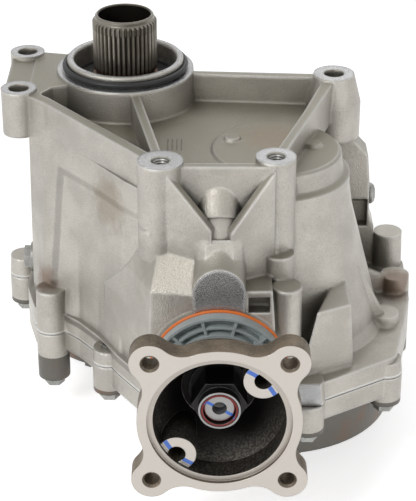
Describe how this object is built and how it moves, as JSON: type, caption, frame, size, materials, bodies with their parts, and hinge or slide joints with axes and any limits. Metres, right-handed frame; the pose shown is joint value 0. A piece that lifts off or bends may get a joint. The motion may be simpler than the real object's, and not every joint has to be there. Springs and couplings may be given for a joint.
{
  "type": "power transfer unit",
  "caption": "Cast power transfer unit with a hollow splined input, internal transfer gears, offset bevel pinion and a lobed output flange.",
  "frame": {"origin": "on the input shaft's axis, in the plane of the machined mounting bosses on top of the housing", "axes": "+Z along the input shaft, out of its splined end; the output flange faces -Y; the transfer shaft lies towards +X"},
  "size_m": [0.285, 0.3365, 0.2615],
  "materials": {
    "cast_aluminium": "as-cast, fine blasted grain",
    "cover_aluminium": "as-cast",
    "forged_steel": "forged, machined faces",
    "bearing_steel": "ground",
    "gear_steel": "case-hardened",
    "spline_steel": "hardened, oiled",
    "fastener_steel": "zinc plated",
    "seal_rubber": "moulded",
    "trim_rubber": "moulded silicone",
    "carrier_grey": "moulded",
    "sealant": "cured sealant"
  },
  "bodies": {
    "casing": {"main_housing": "cast_aluminium", "gear_cover": "cover_aluminium", "cover_sealant": "sealant", "cover_bolts": "fastener_steel", "cover_dowels": "bearing_steel", "fill_plug": "fastener_steel", "drain_plug": "fastener_steel", "breather": "fastener_steel", "input_upper_bearing_cup": "bearing_steel", "input_lower_bearing_cup": "bearing_steel", "transfer_upper_bearing_cup": "bearing_steel", "transfer_lower_bearing_cup": "bearing_steel", "pinion_head_bearing_cup": "bearing_steel", "pinion_tail_bearing_cup": "bearing_steel", "transfer_shim": "bearing_steel", "input_seal": "seal_rubber", "halfshaft_seal": "seal_rubber", "pilot_o_ring": "seal_rubber", "pinion_seal": "seal_rubber", "seal_carrier": "carrier_grey", "carrier_seal_ring": "trim_rubber"},
    "input": {"input_shaft": "spline_steel", "input_gear": "gear_steel", "input_gear_spacer": "bearing_steel", "input_upper_bearing_cone": "bearing_steel", "input_lower_bearing_cone": "bearing_steel"},
    "transfer": {"transfer_shaft": "gear_steel", "transfer_gear": "gear_steel", "ring_gear": "gear_steel", "ring_gear_bolts": "fastener_steel", "transfer_gear_spacer": "bearing_steel", "transfer_upper_bearing_cone": "bearing_steel", "transfer_lower_bearing_cone": "bearing_steel"},
    "output": {"pinion": "gear_steel", "pinion_spacer": "bearing_steel", "pinion_head_bearing_cone": "bearing_steel", "pinion_tail_bearing_cone": "bearing_steel", "output_flange": "forged_steel", "pinion_washer": "fastener_steel", "pinion_nut": "fastener_steel"}
  },
  "joints": [
    {"name": "transfer_spin", "type": "hinge", "parent": "casing", "child": "transfer", "pos_m": [0.10126, -0.08928, -0.12], "axis": [0, 0, 1], "continuous": true},
    {"name": "input_spin", "type": "hinge", "parent": "casing", "child": "input", "pos_m": [0, 0, -0.1], "axis": [0, 0, 1], "continuous": true},
    {"name": "output_spin", "type": "hinge", "parent": "casing", "child": "output", "pos_m": [0.06396, -0.18928, -0.129], "axis": [0, 1, 0], "continuous": true}
  ],
  "couplings": [
    {"joint": "input_spin", "follows": "transfer_spin", "ratio": -1.3077},
    {"joint": "output_spin", "follows": "transfer_spin", "ratio": -2.7333}
  ]
}
